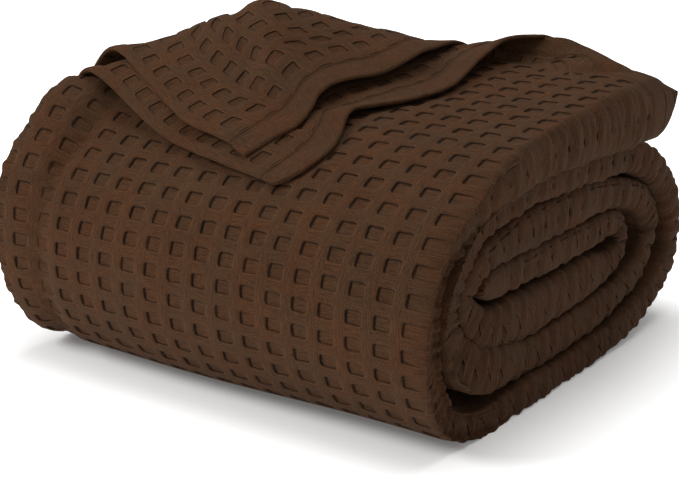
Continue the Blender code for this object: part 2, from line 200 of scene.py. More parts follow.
# The waffle: one cell is a sunk square between flat ribs. Shares of a cell run across and down it.
weave = {
    "across": 21.4 * mm,
    "along": 18.77 * mm,
    "acrossStart": -43.6 * mm,
    "skew": 0.042,  # how far the columns lean, from one distance to another
    "skewFrom": 408 * mm,
    "skewTo": 520 * mm,
    "alongStart": 8.2 * mm,
    "lead": 0.25,  # a cell is counted from this far before its sunk square
    "pitAcross": 0.53,
    "pitAlong": 0.49,
    "pitStray": (0.04, 0.05),  # how much the sunk squares differ, across and along
    "leftWall": (-0.03, 0.03),  # where each wall falls, from its own side
    "topWall": (-0.03, 0.04),
    "softWall": (-0.06, 0.05),
    "depth": 1.0 * mm,
    "depthLeast": 0.8,  # the shallowest cell's share, and how much more by chance
    "depthStray": 0.4,
    "creaseDepth": 0.3 * mm,
    "creaseAt": 0.03,
    "creaseEnds": (-0.06, 0.02, -0.1, 0.0),  # where it comes below the top and goes above the bottom
    "creaseLeast": 0.7,
    "creaseStray": 0.6,
    "crown": 0.35 * mm,
    "ribFade": (0.06, 0.05),  # where the threads turn lengthwise, right and left of a rib
    "strayDistance": 0.7 * mm,  # how far the columns wander, and where in their waves they start
    "strayStart": 0.4,
    "chanceStarts": (0.3, 1.9, 4.1, 6.7),
    "chanceMix": (12.9898, 78.233, 43758.5453),
    "driftWaves": ((0.83, 0.31, 1.0, 1.0), (-0.37, 0.71, 1.7, 1.0), (1.63, 1.21, 2.3, 0.6)),
    "linesAcross": (0.0, 0.035, 0.09, 0.23, 0.38, 0.46, 0.52, 0.58, 0.70, 0.83, 0.965),
    "linesAlong": (0.0, 0.035, 0.09, 0.20, 0.33, 0.43, 0.485, 0.54, 0.66, 0.80, 0.965),
    "coarseLines": (0.0, 0.06, 0.2, 0.38, 0.5, 0.62, 0.81, 0.95),
    "leastStep": 0.02,
    "hemWidth": 20 * mm,
    "slitDepth": 1.4 * mm,
    "gather": 1.1 * mm,
}


# 1 at 0 and below, 0 at 1 and above, half a cosine between
def ease(t):
    return 0.5 + 0.5 * np.cos(np.pi * np.clip(t, 0.0, 1.0))


# 0 at low, 1 at high, smooth between
def ramp(t, low, high):
    return 1 - ease((t - low) / (high - low))


# 1 at 0, falling to nothing on both sides: e to the power of minus the square
def hump(t):
    return np.exp(-(t**2))


# A smooth curve through values at places: a cubic between each two, with the slope of their neighbours
def throughPoints(place, value, at):
    slope = np.gradient(value, place, axis=0)
    k = np.clip(np.searchsorted(place, at, side="right") - 1, 0, len(place) - 2)
    span = place[k + 1] - place[k]
    s = (at - place[k]) / span
    if value.ndim > 1:
        span, s = span[:, None], s[:, None]
    start = (2 * s**3 - 3 * s**2 + 1) * value[k] + (s**3 - 2 * s**2 + s) * span * slope[k]
    end = (3 * s**2 - 2 * s**3) * value[k + 1] + (s**3 - s**2) * span * slope[k + 1]
    return start + end


# The same through a column of a table's rows, level past its ends
def throughTable(rows, at, column=1):
    table = np.array(rows, float)
    return throughPoints(table[:, 0], table[:, column], np.clip(at, table[0, 0], table[-1, 0]))


# The coil's middle line at even steps by chord length
def smoothLine(rows, step):
    points = np.array(rows, float) * mm
    at = arcLength(points[:, :2])
    return throughPoints(at, points, np.arange(0.0, at[-1], step))


# Unit vectors square to a line of y and z, on its outer side: its direction, turned a quarter turn
def outward(line):
    along = np.gradient(line, axis=0)
    along /= np.linalg.norm(along, axis=1)[:, None]
    return np.stack([along[:, 1], -along[:, 0]], axis=1)


# The length along a line at each of its points
def arcLength(line):
    return np.concatenate([[0.0], np.cumsum(np.linalg.norm(np.diff(line, axis=0), axis=1))])


# The coil's middle line, and the path of its outer side, run on straight past the outer end
overhang = 40
coilLine = smoothLine(strip["coil"], 1 * mm)
coilOut = outward(coilLine[:, :2])
facePath = coilLine[:, :2] + coilOut * coilLine[:, 2:3] / 2
facePath = np.concatenate([facePath[:1] + (facePath[0] - facePath[1]) * overhang, facePath])
faceOut = np.concatenate([coilOut[:1], coilOut])
faceAt = arcLength(facePath)
faceAt -= faceAt[1]
faceEnd = faceAt[-1]


# A point a height over the strip's outer side, from x and the distance from the outer end
def onFace(x, at, height):
    y = np.interp(at, faceAt, facePath[:, 0]) + np.interp(at, faceAt, faceOut[:, 0]) * height
    z = np.interp(at, faceAt, facePath[:, 1]) + np.interp(at, faceAt, faceOut[:, 1]) * height
    return np.stack([x, y, z], axis=-1)


# A ply's fold line: its start at the hem, its unit direction, and its unit normal towards the corner
def foldOf(ply):
    start = np.array([ply["foldAtHem"], ply["hemAt"]], float) * mm
    end = np.array([turned["sideAt"], ply["foldAtSide"] * mm])
    along = (end - start) / np.linalg.norm(end - start)
    return start, along, np.array([-along[1], along[0]]) * np.sign(-along[0])


# Distances of a flat point past the fold, towards the corner, and along it from the hem
def foldPlace(ply, x, at):
    start, along, normal = foldOf(ply)
    past = (x - start[0]) * normal[0] + (at - start[1]) * normal[1]
    return past, (x - start[0]) * along[0] + (at - start[1]) * along[1]


# The height of the fold's top by the length along it
def crestHeight(ply, length):
    return throughTable(ply["crest"], length / mm) * mm


# The radius of a half circle as long as the fold's half ellipse: the root of its half axes' mean square
def loopRadius(halfHeight):
    return np.sqrt((halfHeight**2 + np.minimum(halfHeight, turned["loopDepth"]) ** 2) / 2)


# 1 in the middle of the trough down the front, and 0 away from it and past its ends
def nearCrease(x, at, width):
    table = strip["crease"]
    away = (x - throughTable(table, at / mm) * mm) / width
    lengthwise = ease((table[0][0] * mm - at) / strip["creaseFade"])
    return hump(away) * lengthwise * ease((at - table[-1][0] * mm) / strip["creaseFade"])


# How far the outer side stands from its even height: trough, bulge, swell, and what the turned plies leave
def relief(x, at):
    trough = strip["creaseDepth"] * nearCrease(x, at, strip["creaseWidth"])
    bulge = np.maximum(throughTable(strip["shoulder"], at / mm), 0.0) * mm
    bulge = bulge * (1 - ease((strip["shoulderFrom"] - x) / strip["shoulderRamp"]))
    across, along = strip["swellLengths"]
    swell = strip["swell"] * np.sin(x / across + strip["swellStarts"][0])
    swell = swell * np.sin(at / along + strip["swellStarts"][1])
    past, _ = foldPlace(turned["under"], x, at)
    step = 2 * strip["plyThickness"] * (1 - ease((past - strip["stepStart"]) / strip["stepLength"]))
    past, length = foldPlace(turned["upper"], x, at)
    bunch = strip["bunchShare"] * np.clip(crestHeight(turned["upper"], length) - strip["bunchFree"], 0, None)
    return swell + bulge - trough - step + bunch * hump(past / strip["bunchWidth"])


# How much lower the far right corner hangs: a ramp in x times a fade along the strip
def droop(x, at):
    near = ease(at / strip["droopLength"])
    return strip["droop"] * ramp(x, strip["droopFrom"], strip["droopFull"]) * near


# A number from 0 to 1 for each cell, the same each run: the far decimals of a large sine
def cellChance(column, row, start):
    byColumn, byRow, large = weave["chanceMix"]
    mixed = np.sin(np.floor(column) * byColumn + np.floor(row) * byRow + start) * large
    return mixed - np.floor(mixed)


# Slow waves over the cells, from -1 to 1: a sum of sines in the column and the row
def drift(column, row, start):
    waves = weave["driftWaves"]
    total = sum(size * np.sin(column * a + row * b + start * shift) for a, b, shift, size in waves)
    return total / sum(wave[-1] for wave in waves)


# The height of the waffle, and how far its threads run lengthwise. Each cell is sunk between steep walls on
# its left and top and softer ones on its right and bottom, deepest along its left wall, and the ribs are
# crowned by cosines.
def waffle(column, row):
    lead = weave["lead"]
    chance = [cellChance(column + lead, row + lead, start) for start in weave["chanceStarts"]]
    a = (column + lead) % 1.0 - lead
    b = (row + lead) % 1.0 - lead
    strayAcross, strayAlong = weave["pitStray"]
    right = weave["pitAcross"] + strayAcross * (chance[2] - 0.5)
    bottom = weave["pitAlong"] + strayAlong * (chance[3] - 0.5)
    softIn, softOut = weave["softWall"]
    across = ramp(a, *weave["leftWall"]) * (1 - ramp(a, right + softIn, right + softOut))
    along = ramp(b, *weave["topWall"]) * (1 - ramp(b, bottom + softIn, bottom + softOut))
    sunk = across * along * (weave["depthLeast"] + weave["depthStray"] * chance[0])
    topIn, topFull, bottomIn, bottomOut = weave["creaseEnds"]
    crease = hump((a - weave["creaseAt"]) / weave["creaseAt"])
    crease = crease * ramp(b, topIn, topFull) * (1 - ramp(b, bottom + bottomIn, bottom + bottomOut))
    crease = crease * (weave["creaseLeast"] + weave["creaseStray"] * chance[1])
    ribAcross = np.cos(2 * np.pi * (a - (1 + weave["pitAcross"]) / 2))
    ribAlong = np.cos(2 * np.pi * (b - (1 + weave["pitAlong"]) / 2))
    ribs = np.maximum(ribAcross, ribAlong)
    height = weave["crown"] * ribs - weave["depth"] * sunk - weave["creaseDepth"] * crease
    rightFade, leftFade = weave["ribFade"]
    lengthwise = ramp(a, right, right + rightFade) + 1 - ramp(a, -leftFade, 0.0)
    return height, lengthwise


# All grid lines between two places in cells, from the shares of one cell
def cellLines(first, last, shares):
    whole = np.arange(math.floor(first), math.ceil(last) + 1)
    lines = (whole[:, None] + np.array(shares)).ravel()
    lines = lines[(lines > first + weave["leastStep"]) & (lines < last - weave["leastStep"])]
    return np.concatenate([[first], lines, [last]])


# Quads between the neighbours of a grid of points, and from its last column to its first where it is closed
def gridFaces(rows, columns, closed=False):
    index = np.arange(rows * columns).reshape(rows, columns)
    after = np.roll(index, -1, axis=1) if closed else index[:, 1:]
    here = index if closed else index[:, :-1]
    quads = np.stack([here[:-1], here[1:], after[1:], after[:-1]], axis=-1)
    return quads.reshape(-1, 4)


mergeDistance = 0.01 * mm


# A piece from points and quads, with its maps and marks by the point, and its doubles merged
def addPiece(name, points, faces, maps, marks, material):
    mesh = bpy.data.meshes.new(name)
    mesh.vertices.add(len(points))
    mesh.vertices.foreach_set("co", points.astype(np.float32).ravel())
    mesh.loops.add(faces.size)
    mesh.loops.foreach_set("vertex_index", faces.astype(np.int32).ravel())
    mesh.polygons.add(len(faces))
    mesh.polygons.foreach_set("loop_start", np.arange(0, faces.size, 4, dtype=np.int32))
    mesh.update(calc_edges=True)
    for title, uv in maps.items():
        layer = mesh.uv_layers.new(name=title)
        layer.data.foreach_set("uv", uv[faces.ravel()].astype(np.float32).ravel())
    for mark, values in marks.items():
        layer = mesh.attributes.new(mark, "FLOAT", "POINT")
        layer.data.foreach_set("value", values.astype(np.float32).ravel())
    made = bmesh.new()
    made.from_mesh(mesh)
    bmesh.ops.remove_doubles(made, verts=made.verts, dist=mergeDistance)
    loose = [v for v in made.verts if not v.link_faces]
    bmesh.ops.delete(made, geom=loose, context="VERTS")
    made.to_mesh(mesh)
    made.free()
    mesh.validate()
    mesh.shade_smooth()
    mesh.materials.append(material)
    print(name, len(mesh.polygons) * 2, "triangles")
    return addObject(name, mesh)


# The finish of the cloth, with its painted shade and painted highlights
cotton = {
    "colour": (0.0540, 0.0217, 0.0084, 1.0),
    "otherColour": (0.0480, 0.0226, 0.0097, 1.0),
    # The colour of the painted shade in the cell lines, the slits and beside the stitches; the seam's own
    # dark line shares it
    "paintedShadeColour": (0.0010, 0.0005, 0.0003, 1.0),
    # Each noise is its scale, per metre or cell, and its detail
    "hueNoise": (38.0, 2.0),  # patches of the two colours, and how softly they meet
    "hueFade": (0.35, 0.65),
    "broadNoise": (24.0, 2.0),
    "broadShare": 0.3,
    "wobble": 0.075,  # how far the cell lines stray, in cells
    "wobbleNoise": (1.3, 1.0),
    "fineWobble": 0.022,
    "fineWobbleNoise": (9.0, 2.0),
    # The cell lines are painted shade, set by side; the turned plies carry it on other sides
    "sides": (1.0, 0.3, 0.85, 0.4),  # how dark a cell's left, right, top and bottom lines are
    "turnedSides": (0.6, 0.75, 0.15, 0.95),
    "cornerRadius": 1.7,  # of a cell, in millimetres, as all down to slitRimWidth
    "lineWidth": (0.72, 0.5),  # of the left line and of the others
    "lineLeast": 0.8,
    "sideFade": (2.6, 0.7),
    # The rims are a painted highlight beside the cells' right and bottom edges
    "rimWidth": 0.5,
    "rimAt": 0.95,
    "rimBottom": 0.7,
    # The slits are painted shade across the gathered ends, each with a painted highlight rim
    "slitWidth": 0.8,
    "slitReach": 1.7,
    "slitReachLow": 4.4,
    "slitReachStray": 1.4,
    "slitReachFade": 0.9,
    "slitLeast": 0.6,
    "slitBow": 0.002,
    "slitLean": 0.035,
    "slitRimAt": 1.3,
    "slitRimWidth": 0.6,
    # How much painted shade goes into the colour, and how much the painted highlight rims lighten it
    "lineDark": 0.97,
    "rimLight": 0.45,
    "threadPitch": 1.15 * mm,
    "threadWander": 2 * mm,
    "wanderNoise": (250.0, 2.0),
    "threadShade": 0.12,
    "bump": {"Strength": 0.8, "Distance": 0.35 * mm},
    # How much the bump is lifted by threads, fuzz, streaks, dark lines, light rims and stitches
    "lift": (0.35, 1.6, 3.2, -2.4, 0.9, 1.2),
    "streakScale": (900.0, 110.0),  # across and along the floating threads, per metre
    "streakNoise": (1.0, 2.0),
    "streakShare": 1.3,
    "streakEdge": 0.6,  # how much fainter the streaks are on the gathered ends
    "fuzzNoise": (1250.0, 3.0),
    "fuzzShare": 1.8,
    # Painted shade on the gathered ends
    "endShade": 0.2,  # how much darker the gathered ends are
    "seamAt": 20 * mm,
    "seamWidth": 0.45 * mm,
    "seamDark": 0.45,
    "stitchAt": 17.8 * mm,
    "stitchPitch": 3.1 * mm,
    "stitchWidth": 0.4 * mm,
    "stitchDash": (0.05, 0.2, 0.75, 0.9),  # where a stitch starts and ends in its pitch
    # Painted shade beside the stitches
    "stitchShadeWidth": 0.9 * mm,
    "stitchShade": 0.35,
    "surface": {"Roughness": 0.92, "Sheen Weight": 0.065, "Sheen Roughness": 0.5,
                "Sheen Tint": (0.62, 0.38, 0.25, 1.0), "Specular IOR Level": 0.1},
}


# Cloth from cell places (columns and rows) and flat places (metres). A cell's line is where the distance
# from a rounded box is 0: painted shade, darker on some sides than others: sides are the shares of left,
# right, top and bottom; a painted highlight rim lies beside the right and bottom. On the strip's round edge
# short slits of painted shade across the band take the place of cells, and the gathered ends carry painted
# shade. Threads are sines of the flat places, and streaks and fuzz are noise.
def clothMaterial(name, sides, shadeFlipsFacingDown):
    made, nodes, links, shader = addMaterial(name, cotton["surface"])

    def node(kind, **values):
        one = nodes.new(kind)
        for key, value in values.items():
            setattr(one, key, value)
        return one

    def fill(one, values):
        for socket, value in zip(one.inputs, values):
            if isinstance(value, (int, float)):
                socket.default_value = value
            elif value is not None:
                links.new(value, socket)
        return one.outputs[0]

    def maths(operation, *values):
        return fill(node("ShaderNodeMath", operation=operation), values)

    def chain(operation):
        def run(first, *rest):
            for value in rest:
                first = maths(operation, first, value)
            return first
        return run

    add, less, times, most = [chain(word) for word in ("ADD", "SUBTRACT", "MULTIPLY", "MAXIMUM")]

    def rise(value, low, high):
        one = node("ShaderNodeMapRange", interpolation_type="SMOOTHSTEP")
        return fill(one, (value, low, high, 0.0, 1.0))

    def bell(value, width):
        ratio = maths("DIVIDE", value, width)
        return maths("EXPONENT", times(ratio, ratio, -1.0))

    def mark(title):
        return node("ShaderNodeAttribute", attribute_name=title).outputs["Fac"]

    def noise(vector, scale, detail, output="Fac"):
        one = node("ShaderNodeTexNoise")
        setInputs(one, {"Scale": scale, "Detail": detail})
        links.new(vector, one.inputs["Vector"])
        return one.outputs[output]

    # Noise about 0
    def sway(vector, sizes):
        return less(noise(vector, *sizes), 0.5)

    def split(vector):
        one = node("ShaderNodeSeparateXYZ")
        links.new(vector, one.inputs[0])
        return one.outputs[0], one.outputs[1]

    place = node("ShaderNodeTexCoord").outputs["Object"]
    cells = node("ShaderNodeUVMap", uv_map="cells").outputs["UV"]
    flatU, flatV = split(node("ShaderNodeUVMap", uv_map="cloth").outputs["UV"])
    cellU, cellV = split(cells)
    strayU, strayV = split(noise(cells, *cotton["wobbleNoise"], "Color"))
    shakeU, shakeV = split(noise(cells, *cotton["fineWobbleNoise"], "Color"))
    wobble, fineWobble, lead = cotton["wobble"], cotton["fineWobble"], weave["lead"]
    u = add(cellU, times(less(strayU, 0.5), wobble), times(less(shakeU, 0.5), fineWobble))
    v = add(cellV, times(less(strayV, 0.5), wobble), times(less(shakeV, 0.5), fineWobble))
    chanceNode = node("ShaderNodeTexWhiteNoise", noise_dimensions="2D")
    corner = node("ShaderNodeCombineXYZ")
    links.new(maths("FLOOR", add(u, lead)), corner.inputs[0])
    links.new(maths("FLOOR", add(v, lead)), corner.inputs[1])
    links.new(corner.outputs[0], chanceNode.inputs["Vector"])
    chance = chanceNode.outputs["Value"]

    # Distances inside one cell from the middle of its pit, in millimetres
    wide, tall = weave["pitAcross"], weave["pitAlong"]
    halfWide = wide * weave["across"] / mm / 2
    halfTall = tall * weave["along"] / mm / 2
    x = times(less(less(maths("FRACT", add(u, lead)), lead), wide / 2), weave["across"] / mm)
    y = times(less(less(maths("FRACT", add(v, lead)), lead), tall / 2), weave["along"] / mm)
    radius = cotton["cornerRadius"]
    overX = less(maths("ABSOLUTE", x), halfWide - radius)
    overY = less(maths("ABSOLUTE", y), halfTall - radius)
    outX, outY = most(overX, 0.0), most(overY, 0.0)
    outside = maths("SQRT", add(times(outX, outX), times(outY, outY)))
    gap = less(add(outside, maths("MINIMUM", most(overX, overY), 0.0)), radius)

    def onSide(value, half):
        return rise(value, *[half - fade for fade in cotton["sideFade"]])

    onLeft, onRight = onSide(times(x, -1.0), halfWide), onSide(x, halfWide)
    onTop, onBottom = onSide(times(y, -1.0), halfTall), onSide(y, halfTall)
    low = mark("low")
    left, right, top, bottom = sides
    # On faces turned down the top and bottom lines swap their painted shade
    if shadeFlipsFacingDown:
        topShare = add(top, times(low, bottom - top))
        bottomShare = add(bottom, times(low, top - bottom))
    else:
        topShare, bottomShare = top, bottom
    # The cell lines: painted shade
    wideLine, thinLine = bell(gap, cotton["lineWidth"][0]), bell(gap, cotton["lineWidth"][1])
    strength = add(cotton["lineLeast"], times(chance, 1 - cotton["lineLeast"]))
    cellPaintedShade = most(
        times(wideLine, onLeft, left, strength),
        times(thinLine, onRight, right),
        times(thinLine, onTop, topShare),
        times(thinLine, onBottom, bottomShare),
    )
    # A painted highlight rim beside the cells' right and bottom
    paintedHighlightSides = most(onRight, times(onBottom, cotton["rimBottom"]))
    rim = times(bell(less(gap, cotton["rimAt"]), cotton["rimWidth"]), paintedHighlightSides)

    # Slits on the gathered ends, bent across the band: painted shade, each with a painted highlight rim
    band = times(mark("band"), 1 / mm)
    bow = times(band, low, less(times(band, cotton["slitBow"]), cotton["slitLean"]))
    fromSlit = times(add(less(maths("FRACT", add(v, 0.5)), 0.5), bow), weave["along"] / mm)
    byChance = times(chance, cotton["slitReachStray"])
    reach = add(cotton["slitReach"], times(low, cotton["slitReachLow"]), byChance)
    fade = cotton["slitReachFade"]
    within = less(1.0, rise(less(maths("ABSOLUTE", band), reach), -fade, fade))
    slitStrength = add(cotton["slitLeast"], times(chance, 1 - cotton["slitLeast"]))
    slitPaintedShade = times(bell(fromSlit, cotton["slitWidth"]), within, slitStrength)
    slitPaintedHighlight = times(bell(less(fromSlit, cotton["slitRimAt"]), cotton["slitRimWidth"]), within)

    edge, show = mark("edge"), mark("show")
    inCells = less(1.0, edge)
    # All the painted shade and all the painted highlight
    paintedShadeAndSeam = times(add(times(cellPaintedShade, inCells), times(slitPaintedShade, edge)), show)
    paintedHighlight = times(add(times(rim, inCells), times(slitPaintedHighlight, edge)), show)
    seam = bell(less(flatV, cotton["seamAt"]), cotton["seamWidth"])
    dash = maths("FRACT", maths("DIVIDE", flatU, cotton["stitchPitch"]))
    dashFrom, dashFull, dashEnd, dashGone = cotton["stitchDash"]
    dash = times(rise(dash, dashFrom, dashFull), less(1.0, rise(dash, dashEnd, dashGone)))
    fromStitch = less(flatV, cotton["stitchAt"])
    stitch = times(bell(fromStitch, cotton["stitchWidth"]), dash)
    nearStitch = bell(fromStitch, cotton["stitchShadeWidth"])
    stitchShade = times(nearStitch, less(1.0, stitch), cotton["stitchShade"])
    # The seam's own dark line and the painted shade beside the stitches join it
    paintedShadeAndSeam = maths("MINIMUM", add(paintedShadeAndSeam, times(seam, cotton["seamDark"]), stitchShade), 1.0)

    # Threads, lengthwise on the upright ribs and crosswise elsewhere
    wander = times(sway(place, cotton["wanderNoise"]), cotton["threadWander"])
    turns = 2 * math.pi / cotton["threadPitch"]
    lengthwise = maths("SINE", times(add(flatU, wander), turns))
    crosswise = maths("SINE", times(add(flatV, wander), turns))
    share = times(mark("lengthwise"), inCells)
    threads = add(times(lengthwise, share), times(crosswise, less(1.0, share)))
    fuzz = sway(place, cotton["fuzzNoise"])
    acrossScale, alongScale = cotton["streakScale"]
    streaks = []
    for scaleU, scaleV in ((acrossScale, alongScale), (alongScale, acrossScale)):
        spread = node("ShaderNodeCombineXYZ")
        links.new(times(flatU, scaleU), spread.inputs[0])
        links.new(times(flatV, scaleV), spread.inputs[1])
        streaks.append(sway(spread.outputs[0], cotton["streakNoise"]))
    streak = add(times(streaks[0], share), times(streaks[1], less(1.0, share)))
    lifted = zip((threads, fuzz, streak, paintedShadeAndSeam, paintedHighlight, stitch), cotton["lift"])
    lift = add(*[times(value, share) for value, share in lifted])
    bump = node("ShaderNodeBump")
    setInputs(bump, cotton["bump"])
    links.new(lift, bump.inputs["Height"])
    links.new(bump.outputs[0], shader.inputs["Normal"])

    def mix(factor, first, second):
        one = node("ShaderNodeMix", data_type="RGBA")
        links.new(factor, one.inputs["Factor"])
        for title, value in (("A", first), ("B", second)):
            if isinstance(value, tuple):
                one.inputs[title].default_value = value
            else:
                links.new(value, one.inputs[title])
        return one.outputs["Result"]

    hue = rise(noise(place, *cotton["hueNoise"]), *cotton["hueFade"])
    base = mix(hue, cotton["colour"], cotton["otherColour"])
    # The painted shade mixed into the colour
    base = mix(times(paintedShadeAndSeam, cotton["lineDark"]), base, cotton["paintedShadeColour"])
    broad = times(sway(place, cotton["broadNoise"]), cotton["broadShare"])
    fine = times(add(fuzz, times(threads, cotton["threadShade"])), cotton["fuzzShare"])
    # Painted shade on the gathered ends
    paintedEndShade = times(edge, -cotton["endShade"])
    tone = node("ShaderNodeVectorMath", operation="SCALE")
    links.new(base, tone.inputs[0])
    streak = times(streak, cotton["streakShare"], less(1.0, times(edge, cotton["streakEdge"])))
    # Painted highlight rims lighten the colour
    shade = add(1.0, broad, fine, streak, paintedEndShade, times(paintedHighlight, cotton["rimLight"]))
    links.new(shade, tone.inputs["Scale"])
    links.new(tone.outputs[0], shader.inputs["Base Color"])
    return made


# The two materials differ only in which cell sides carry the painted shade
brownCotton = clothMaterial("brownWaffleCotton", cotton["sides"], True)
turnedCotton = clothMaterial("brownWaffleCottonTurned", cotton["turnedSides"], False)
print("cotton")

# Round the strip's edge, from its outer side to its inner one, for half a thickness of 1: a rounded square,
# the cosine and the sine of an angle each raised to the same power under 1
edgeAngles = np.linspace(math.pi / 2, -math.pi / 2, strip["edgeSteps"])
edgePower = 2 / strip["edgeSquare"]
edgeOut = strip["edgeRound"] * np.abs(np.cos(edgeAngles)) ** edgePower
edgeUp = np.sign(np.sin(edgeAngles)) * np.abs(np.sin(edgeAngles)) ** edgePower
edgeArcs = arcLength(np.stack([edgeOut, edgeUp], axis=1))

# By distance: how far the right edge's outer corner stands out, how far the edge behind such a corner sinks
# in, and how much thicker the strip gets at its edges on its inner and its outer side
lip = {
    "flare": ((0, -4), (45, 0), (190, 0), (235, 6), (257, 8), (301, 10), (342, 9.5), (373, 7), (410, 3),
              (446, 0), (1165, 0), (1203, 3), (1239, 5), (1273, 5), (1299, 4), (1331, 4), (1367, 1.5),
              (1400, 0)),
    "sink": ((0, 0), (190, 0), (235, 4), (280, 7), (446, 7), (490, 5), (550, 0), (1165, 0), (1210, 4),
             (1335, 4), (1370, 0)),
    "inward": ((0, 0.8), (380, 0.8), (420, -3), (446, -6), (485, -7), (520, -4), (560, 0.8), (1165, 0.9),
               (1273, 0.9), (1299, 3), (1331, 8.0), (1367, 8.0), (1410, 5.0), (1450, 0.9),
               (1900, 1.5), (2023, 1.5), (2056, 3.0), (2110, 3.0), (2150, 1.5), (2600, 1.5)),
    "outward": ((0, 0), (1150, 0), (1230, 0.9), (1980, 1.5), (2015, 3.5), (2060, 4.5), (2110, 3.0),
                (2150, 1.5), (2600, 1.5)),
    "from": 140 * mm,  # where the strip starts to get thicker, and where it has got it all
    "full": 182 * mm,
    "cornerFade": (0.85, 0.96),  # the corner's share of the height
    "sinkFade": (0.0, 0.12, 0.8, 0.93),
    "extraColumns": (174, 197, 1.6),  # close columns at the corner: from, to and step
}


# A point of the strip's ring from c, the cloth's distance from the middle of its outer side: flat to the
# edge, round the edge's rounded square, and flat back in on the inner side. Gives x, the share of the
# height, how much of the edge's gathered folds and slits it has (which also bring painted shade to the
# cloth), and how far the next turn hides it.
def ringPlace(c, half):
    flat = strip["width"] / 2 - half * strip["edgeRound"]
    turn = (np.abs(c) - flat) / half
    back = np.maximum(turn - edgeArcs[-1], 0.0) * half
    x = np.where(turn < 0, np.abs(c), flat + half * np.interp(turn, edgeArcs, edgeOut) - back)
    share = (1 + np.interp(turn, edgeArcs, edgeUp)) / 2
    first, full, last, gone = strip["edgeFade"]
    onEdge = ramp(turn, first, full) * (1 - ramp(turn, edgeArcs[-1] + last, edgeArcs[-1] + gone))
    hideFrom, hideFull = strip["hideFade"]
    return np.sign(c) * x, share, onEdge, ramp(turn, edgeArcs[-1] + hideFrom, edgeArcs[-1] + hideFull)


rollPieces = {
    "reach": 256 * mm,  # how far round the ring the cells go, from the middle of the outer side
    "innerColumns": 8,
    "innerFrom": 145 * mm,  # in the inner turns only the columns beyond this stay, and a few between
    "innerSpread": 140 * mm,
    "endRows": 26,
    "endPlies": 6,
    "endReach": {"outer": 0.8, "inner": 2.3},
    "endGroove": 1.6 * mm,
    "grooveSharp": 3,
    "endMap": 40 * mm,
    "bridgeMap": (0.3, 0, 14.0, 0),  # how far the maps run on over the hidden middle, in metres and cells
    "cuts": (0.0, 0.515, 1.165),  # distances where one piece ends and the next starts
    "seamWidth": 1.2 * mm,
    "seamDepth": 0.7 * mm,
}


# Part of the rolled strip: rows of rings at distances along the coil, and columns along the cell lines. A
# point stands on the coil's middle line, out along its normal by its share of the strip's height there.
def rollGrid(rowLines, shares, middleFine=True):
    at = weave["alongStart"] + rowLines * weave["along"]
    line = [np.interp(at, faceAt[1:], values) for values in (*coilLine.T, *coilOut.T)]
    y, z, thickness, slide, outY, outZ = [values[:, None] for values in line]
    half = thickness / 2
    at = at[:, None]
    lean = weave["skew"] * (weave["skewFrom"] - np.minimum(at, weave["skewTo"]))
    start = weave["acrossStart"] + lean - slide
    first = (-rollPieces["reach"] - start.mean()) / weave["across"]
    last = (rollPieces["reach"] - start.mean()) / weave["across"]
    columns = cellLines(first, last, shares)
    extra = (np.arange(*lip["extraColumns"]) * mm - start.mean()) / weave["across"]
    columns = np.sort(np.append(columns, extra))
    if not middleFine:
        outer = np.abs(columns * weave["across"] + start.mean()) > rollPieces["innerFrom"]
        spread = rollPieces["innerSpread"]
        spread = np.linspace(-spread, spread, rollPieces["innerColumns"]) - start.mean()
        columns = np.sort(np.concatenate([columns[outer], spread / weave["across"]]))
    column, row = np.broadcast_arrays(columns[None], rowLines[:, None])
    c = column * weave["across"] + start
    c = c + weave["strayDistance"] * drift(column, row, weave["strayStart"])
    x, share, onEdge, hidden = ringPlace(c, half)
    flare, sink, inward, outward = [
        np.interp(at / mm, *np.array(lip[key], float).T) for key in ("flare", "sink", "inward", "outward")
    ]
    corner = ramp(share, *lip["cornerFade"]) * onEdge * (c > 0)
    sunkIn = ramp(share, *lip["sinkFade"][:2]) * (1 - ramp(share, *lip["sinkFade"][2:])) * onEdge
    x = x + (flare * corner - np.sign(c) * sink * sunkIn) * mm
    limit = strip["evenShare"] * strip["width"] / 2
    nearEdge = ramp(np.abs(x), lip["from"], lip["full"]) * mm
    top = half + relief(np.clip(x, -limit, limit) + slide, at)
    top = top + outward * nearEdge - droop(x + slide, at)
    low = -half - inward * nearEdge
    height = low + (top - low) * share
    points = np.stack([x + slide, y + outY * height, z + outZ * height], axis=-1)
    shown = {
        "column": column, "row": row, "at": np.broadcast_to(at, c.shape), "c": c, "x": x + slide,
        "onEdge": onEdge, "hidden": hidden, "outZ": np.broadcast_to(outZ, c.shape),
        "band": (share - 0.5) * (top - low),
    }
    return points, shown


leastLength = 1e-12  # nothing is divided by less


# Unit normals of a grid of points: the cross product of its two directions
def gridNormals(points):
    normal = np.cross(np.gradient(points, axis=0), np.gradient(points, axis=1))
    length = np.linalg.norm(normal, axis=-1)[..., None]
    return normal / np.maximum(length, leastLength)


# The cloth where it is gathered: on the strip's round edges, and along the trough down the front
gathered = {
    "lowFade": (-0.5, 0.7),  # how far the outer side faces down
    "slitHalf": 0.05,  # of a cell
    "slitFade": 1.0,  # in millimetres
    # Folds across the band: height, folds a cell, how far and how fast they bend, the bend's start, and lean
    "folds": ((0.45, 1.55, 1.3, 2.3, 0, 0.09), (0.35, 2.35, 1.7, 1.7, 1, -0.13)),
    "driftPace": (1.9, 0.6),
    "driftStart": 2.2,
    "cellFold": 0.5,
    "wrinkleShare": 1.2,
    "crossWrinkle": (0.9, 1.9, 9.0),  # height, wrinkles a cell, and how fast they shift across
    "crumpleEdge": 0.6,
    "hemFade": 3 * mm,
}


